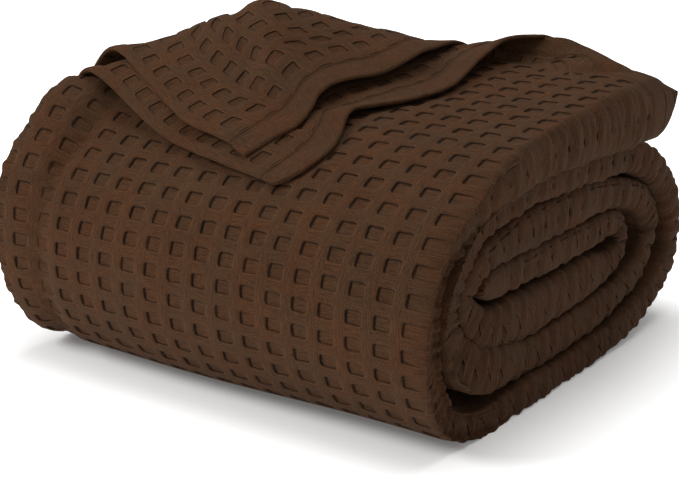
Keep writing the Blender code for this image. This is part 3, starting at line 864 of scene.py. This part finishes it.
# The waffle on the strip: full on its sides, soft folds with slits across its round edges, crumpled along
# the trough, none in the hem, and fading where the next turn hides it. Folds are sines along the strip.
def rollHeight(shown, hemEnds):
    row, column, onEdge, band = shown["row"], shown["column"], shown["onEdge"], shown["band"] / mm
    height, lengthwise = waffle(column, row)
    low = ramp(-shown["outZ"], *gathered["lowFade"])
    b = (row + 0.5) % 1.0 - 0.5
    reach = cotton["slitReach"] + cotton["slitReachLow"] * low
    bow = band * low * (cotton["slitBow"] * band - cotton["slitLean"])
    fade = gathered["slitFade"]
    slit = hump((b + bow) / gathered["slitHalf"])
    slit = slit * (1 - ramp(np.abs(band), reach - fade, reach + fade))
    folds = np.zeros_like(band)
    for size, count, bend, pace, start, lean in gathered["folds"]:
        folds += size * np.sin(2 * np.pi * count * row + bend * np.sin(pace * row + start) + lean * band)
    paceRow, paceColumn = gathered["driftPace"]
    folds += drift(row * paceRow, column * paceColumn, gathered["driftStart"])
    folds -= gathered["cellFold"] * np.cos(2 * np.pi * row)
    edgeHeight = weave["gather"] * folds - weave["slitDepth"] * slit
    crumple = strip["crumpleShare"] * nearCrease(shown["x"], shown["at"], strip["crumpleWidth"])
    crumple = crumple * (1 - onEdge)
    size, count, shift = gathered["crossWrinkle"]
    wrinkles = gathered["wrinkleShare"] * folds + size * np.sin(2 * np.pi * count * row + shift * column)
    height = height * (1 - crumple) + weave["gather"] * wrinkles * crumple
    inHem = 1 - ramp(shown["at"], hemEnds, hemEnds + gathered["hemFade"])
    seam = hump((shown["at"] - hemEnds) / rollPieces["seamWidth"])
    show = (1 - shown["hidden"]) * (1 - inHem)
    lift = (height * (1 - onEdge) + edgeHeight * onEdge) * show - rollPieces["seamDepth"] * seam
    edge = np.maximum(onEdge, gathered["crumpleEdge"] * crumple)
    return lift, {"show": show, "lengthwise": lengthwise, "edge": edge, "low": low, "band": shown["band"]}


# Rows past the outer or inner end: each ring closes to its middle height on half an ellipse, with a groove
# between each two plies
def endRings(ring, along, reachShare):
    angle = np.linspace(0, math.pi / 2, rollPieces["endRows"] + 1)[1:, None, None]
    half = 0.5 * np.ptp(ring @ np.cross([1.0, 0.0, 0.0], along))
    middle = ring * [1, 0, 0] + ring.mean(axis=0) * [0, 1, 1]
    between = 1 - np.abs(np.sin(np.pi * rollPieces["endPlies"] * (1 + np.cos(angle)) / 2))
    groove = between ** rollPieces["grooveSharp"]
    reach = reachShare * half * np.sin(angle) - rollPieces["endGroove"] * groove
    return ring * np.cos(angle) + middle * (1 - np.cos(angle)) + along * reach


# One length of the rolled strip: its waffled rings, the hidden middle closed by straight columns, and the
# rings that close the strip where an end is named
def rollPiece(name, first, last, shares, middleFine=True, end=None):
    rowFirst = (first - weave["alongStart"]) / weave["along"]
    rowLast = (last - weave["alongStart"]) / weave["along"]
    rowLines = cellLines(rowFirst, rowLast, shares[0])
    points, shown = rollGrid(rowLines, shares[1], middleFine)
    lift, marks = rollHeight(shown, weave["hemWidth"])
    points = points + gridNormals(points) * lift[..., None]
    closing = np.linspace(0, 1, rollPieces["innerColumns"] + 2)[1:-1]
    bridge = points[:, -1:] * (1 - closing[:, None]) + points[:, :1] * closing[:, None]
    points = np.concatenate([points, bridge], axis=1)
    uv = np.stack([shown["c"], shown["at"], shown["column"], shown["row"]], axis=-1)
    bridgeUv = uv[:, -1:] + closing[:, None] * rollPieces["bridgeMap"]
    uv = np.concatenate([uv, bridgeUv], axis=1)
    blank = np.zeros(bridge.shape[:2])
    marks = {key: np.concatenate([values, blank], axis=1) for key, values in marks.items()}
    if end:
        # The rings are worked out from the end's last ring outwards. At the outer end they come first.
        way = -1 if end == "outer" else 1
        ring, inner = points[::-way][0], points[::-way][1]
        along = ring.mean(axis=0) - inner.mean(axis=0)
        along[0] = 0.0
        along /= np.linalg.norm(along)
        rings = endRings(ring, along, rollPieces["endReach"][end])

        def joined(values, more):
            return np.concatenate([values[::way], more])[::way]

        points = joined(points, rings)
        endUv = np.repeat(uv[::-way][:1], len(rings), axis=0)
        endUv[..., 1] += np.linspace(0, rollPieces["endMap"], len(rings))[:, None] * way
        uv = joined(uv, endUv)
        for key, values in marks.items():
            marks[key] = joined(values, np.repeat(values[::-way][:1], len(rings), axis=0))
    points[..., 2] = np.maximum(points[..., 2], 0.0)
    faces = gridFaces(*points.shape[:2], closed=True)
    flat = uv.reshape(-1, 4)
    maps = {"cloth": flat[:, :2], "cells": flat[:, 2:]}
    return addPiece(name, points.reshape(-1, 3), faces, maps, marks, brownCotton)


fineLines = (weave["linesAlong"], weave["linesAcross"])
mixedLines = (weave["coarseLines"], weave["linesAcross"])
coarseLines = (weave["coarseLines"], weave["coarseLines"])
cuts = rollPieces["cuts"]
frontTurn = rollPiece("frontAndTop", cuts[0], cuts[1], fineLines, end="outer")
backTurn = rollPiece("bottomAndBack", cuts[1], cuts[2], mixedLines)
innerTurns = rollPiece("innerTurns", cuts[2], faceEnd, coarseLines, middleFine=False, end="inner")


# Where the fold crosses a row, and how near that row is to the hem: 1 there, and falling as a bell does
def foldCrossing(ply, at):
    start, along, _ = foldOf(ply)
    fromHem = at - ply["hemAt"] * mm
    return start[0] + fromHem * along[0] / along[1], hump(fromHem / turned["hemBand"])


# The middle of a turned ply from flat places x and at: flat foot, half round over the fold, and down to the
# cloth under it along half a cosine, mirrored past the fold, with the hem's waves and lifts added
def plyMiddle(ply, x, at):
    start, along, normal = foldOf(ply)
    foldX, nearHem = foldCrossing(ply, at)
    past, length = foldPlace(ply, x, at)
    top = crestHeight(ply, length) - strip["plyThickness"] / 2
    foot = ply["foot"] * mm
    halfHeight = (top - foot) / 2
    radius = loopRadius(halfHeight)
    angle = np.clip(past / radius, -np.pi / 2, np.pi / 2)
    beyond = np.abs(past) - radius * np.pi / 2
    rest = ply["rest"] * mm
    height = foot + halfHeight * (1 + np.sin(angle))
    fallen = rest + (top - rest) * ease(beyond / turned["fall"])
    height = np.where((past > 0) & (beyond > 0), fallen, height)
    fade = np.where(past > 0, turned["fall"], turned["root"])
    slack = radius * np.pi / 2 * (1 - ease(beyond / fade))
    depth = np.minimum(halfHeight, turned["loopDepth"])
    across = np.where(beyond > 0, -beyond - slack, depth * np.cos(angle))
    placeX = start[0] + length * along[0] + across * normal[0]
    placeAt = start[1] + length * along[1] + across * normal[1]
    pull = np.clip(past / ((turned["sideAt"] - start[0]) * normal[0]), 0.0, None)
    hemLength = foldX - x
    inWaves = hump((at - ply["hemAt"] * mm) / turned["waveBand"])
    reach = np.where(hemLength > 0, inWaves, nearHem)
    wave = throughTable(ply["hem"], hemLength / mm, 1) * mm
    placeX = placeX + pull * ply["cornerPull"][0] * mm + reach * wave
    placeAt = placeAt + pull * ply["cornerPull"][1] * mm
    height = height + reach * throughTable(ply["hem"], hemLength / mm, 2) * mm
    return onFace(placeX, placeAt, height - droop(placeX, placeAt))


# Where a turned ply joins the strip, a little past the foot of its fold
def plyRoot(ply, at):
    _, _, normal = foldOf(ply)
    foldX, nearHem = foldCrossing(ply, at)
    topMost = max(height for _, height in ply["crest"]) * mm
    loopMost = loopRadius((topMost - ply["foot"] * mm) / 2) * np.pi / 2
    root = foldX + (loopMost + turned["root"] + turned["hemRoot"] * nearHem) / -normal[0]
    return np.minimum(root, turned["rootLimit"])


turnedPieces = {
    "thickness": 3.9 * mm,
    "hemThickness": 3.6 * mm,
    "rimRadius": 2.2 * mm,
    "rimLeast": 0.02,
    # Close lines in the hem and at the side, and where the cells start
    "hemLines": (0.0, 0.5, 1.4, 3.0, 6.5, 11.0, 15.5, 18.2, 19.2, 20.2),
    "sideLines": (0.0, 0.5, 1.4, 3.0),
    "cellStart": 22 * mm,
    "lineGap": 0.3 * mm,
    "spareLength": 1.35,  # the flat grid is larger than the ply, because it is drawn together later
    "spareColumns": 4,
    "hemFade": (20.5 * mm, 23 * mm),
    "rootFade": (22 * mm, 45 * mm),
    "sideFade": (1.5 * mm, 6 * mm),
    "seamAt": 19.2 * mm,
    "relaxRounds": 12,
    "stretchLimits": (0.7, 3.0),
    "stretchStep": 0.2 * mm,
    "leastSpan": 0.05 * mm,
}


# The flat corner drawn in to a quarter circle: each way inwards from the square's far sides is shortened by
# the square root of one less half the other way's square
def roundedCorner(x, at, side, hem, radius):
    inX = np.clip(radius - (x - side), 0.0, radius)
    inAt = np.clip(radius - (at - hem), 0.0, radius)
    roundX = inX * np.sqrt(1 - (inAt / radius) ** 2 / 2)
    roundAt = inAt * np.sqrt(1 - (inX / radius) ** 2 / 2)
    return x + inX - roundX, at + inAt - roundAt


# One turned ply: its middle surface thickened both ways along its normals, with the waffle on both sides, a
# rounded rim, and a wall round it
def turnedPly(name, ply):
    sizes = turnedPieces
    hem = ply["hemAt"] * mm
    lastAt = ply["foldAtSide"] * mm
    lastRow = (lastAt - hem) * sizes["spareLength"] / weave["along"]
    rows = cellLines(0.0, lastRow, weave["linesAlong"]) * weave["along"] + sizes["cellStart"]
    rows = np.concatenate([np.array(sizes["hemLines"]) * mm, rows])
    side = turned["sideAt"]
    firstColumn = (side - weave["acrossStart"]) / weave["across"]
    lastColumn = (turned["rootLimit"] - weave["acrossStart"]) / weave["across"] + sizes["spareColumns"]
    across = cellLines(firstColumn, lastColumn, weave["linesAcross"]) * weave["across"]
    across = across + weave["acrossStart"]
    sideLines = side + np.array(sizes["sideLines"]) * mm
    across = np.concatenate([sideLines, across[across > sideLines[-1] + sizes["lineGap"]]])
    flatX, flatAt = np.meshgrid(across, rows)
    x, at = flatX.copy(), flatAt + hem
    # The grid is spread so that its threads keep their length: each step is divided by the local stretch
    small = sizes["stretchStep"]
    for _ in range(sizes["relaxRounds"]):
        cx = np.minimum(x, plyRoot(ply, at))
        ca = np.minimum(at, lastAt)
        middle = plyMiddle(ply, cx, ca)
        stretchX = np.linalg.norm(plyMiddle(ply, cx + small, ca) - middle, axis=-1) / small
        stretchAt = np.linalg.norm(plyMiddle(ply, cx, ca + small) - middle, axis=-1) / small
        stretchX = np.clip(stretchX, *sizes["stretchLimits"])
        stretchAt = np.clip(stretchAt, *sizes["stretchLimits"])
        stepX = np.diff(flatX, axis=1) / ((stretchX[:, 1:] + stretchX[:, :-1]) / 2)
        stepAt = np.diff(flatAt, axis=0) / ((stretchAt[1:] + stretchAt[:-1]) / 2)
        newX = np.concatenate([flatX[:, :1], flatX[:, :1] + np.cumsum(stepX, axis=1)], axis=1)
        newAt = np.concatenate([flatAt[:1] + hem, flatAt[:1] + hem + np.cumsum(stepAt, axis=0)], axis=0)
        x, at = (x + newX) / 2, (at + newAt) / 2
    x, at = roundedCorner(x, at, side, hem, ply["cornerRadius"] * mm)
    root = plyRoot(ply, at)
    overX, overAt = x > root, at > lastAt
    x, at = np.minimum(x, root), np.minimum(at, lastAt)
    middle = plyMiddle(ply, x, at)
    column = (flatX - weave["acrossStart"]) / weave["across"]
    row = (flatAt - sizes["cellStart"]) / weave["along"]
    inHem = 1 - ramp(flatAt, *sizes["hemFade"])
    past, _ = foldPlace(ply, x, at)
    show = (1 - inHem) * (1 - ramp(-past, *sizes["rootFade"])) * ramp(flatX - side, *sizes["sideFade"])
    seam = rollPieces["seamDepth"] * hump((flatAt - sizes["seamAt"]) / rollPieces["seamWidth"])
    rim = np.minimum(np.minimum(flatAt, flatX - side), sizes["rimRadius"]) / sizes["rimRadius"]
    rim = np.sqrt(np.clip(1 - (1 - rim) ** 2, sizes["rimLeast"], 1.0))
    half = rim * (sizes["thickness"] * (1 - inHem) + sizes["hemThickness"] * inHem) / 2
    # The cells sunk on one side lie half a cell from those on the other
    height, lengthwise = waffle(column, row)
    backHeight, backLengthwise = waffle(column + 0.5, row + 0.5)
    normal = gridNormals(middle)
    first = middle + normal * (half + height * show - seam)[..., None]
    second = middle - normal * (half + backHeight * show - seam)[..., None]
    count = flatX.size
    # Quads past the root or the last row are left out, and so are those drawn together to nothing
    quads = gridFaces(*flatX.shape)
    gone = (overX | overAt).ravel()
    quads = quads[~gone[quads].all(axis=1)]
    flat = middle.reshape(-1, 3)
    span = np.linalg.norm(flat[quads[:, 0]] - flat[quads[:, 2]], axis=1)
    quads = quads[span > sizes["leastSpan"]]
    # The wall stands on the sides that only one quad has
    sides = np.concatenate([quads[:, [k, (k + 1) % 4]] for k in range(4)])
    _, where, counts = np.unique(np.sort(sides, axis=1), axis=0, return_index=True, return_counts=True)
    here, there = sides[where[counts == 1]].T
    walls = np.stack([there, here, here + count, there + count], axis=-1)
    faces = np.concatenate([quads, quads[:, ::-1] + count, walls])
    points = np.concatenate([first.reshape(-1, 3), second.reshape(-1, 3)])
    uv = np.stack([flatX, flatAt], axis=-1).reshape(-1, 2)
    cells = np.stack([column, row], axis=-1).reshape(-1, 2)
    maps = {"cloth": np.concatenate([uv, uv]), "cells": np.concatenate([cells, cells + 0.5])}
    marks = {"show": [show, show], "lengthwise": [lengthwise, backLengthwise]}
    marks = {key: np.concatenate([one.ravel() for one in both]) for key, both in marks.items()}
    marks.update({key: np.zeros(2 * count) for key in ("edge", "low", "band")})
    return addPiece(name, points, faces, maps, marks, turnedCotton)


underPly = turnedPly("turnedPlyUnder", turned["under"])
upperPly = turnedPly("turnedPlyUpper", turned["upper"])
print("turned plies")


def addFloor():
    half = studio["floorSize"] / 2
    mesh = bpy.data.meshes.new("floor")
    corners = [(-half, -half, 0), (half, -half, 0), (half, half, 0), (-half, half, 0)]
    mesh.from_pydata(corners, [], [(0, 1, 2, 3)])
    floor = addObject("floor", mesh)
    made, nodes, links, shader = addMaterial("paleFloorPaintedLight", studio["floor"])

    # Painted floor light rises with the distance from a box round the object, leaving a painted shadow
    def vectorMaths(operation, first, second=None):
        one = nodes.new("ShaderNodeVectorMath")
        one.operation = operation
        links.new(first, one.inputs[0])
        if second is not None:
            one.inputs[1].default_value = second
        return one.outputs["Value" if operation == "LENGTH" else "Vector"]

    place = vectorMaths("ABSOLUTE", nodes.new("ShaderNodeTexCoord").outputs["Object"])
    beyond = vectorMaths("SUBTRACT", place, (*studio["paintedShadowHalf"], 0.0))
    beyond = vectorMaths("MAXIMUM", beyond, (0.0, 0.0, 0.0))
    paintedFloorLight = nodes.new("ShaderNodeMapRange")
    paintedFloorLight.interpolation_type = "SMOOTHSTEP"
    links.new(vectorMaths("LENGTH", beyond), paintedFloorLight.inputs["Value"])
    setInputs(paintedFloorLight, studio["paintedFloorLight"])
    links.new(paintedFloorLight.outputs[0], shader.inputs["Emission Strength"])
    mesh.materials.append(made)


def addSky():
    sky = bpy.data.worlds.new("studioSky")
    sky.use_nodes = True
    setInputs(sky.node_tree.nodes["Background"], studio["sky"])
    scene.world = sky


addFloor()
addSky()

for piece in (frontTurn, backTurn, innerTurns, underPly, upperPly):
    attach(piece, "root")
    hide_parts("blanket")
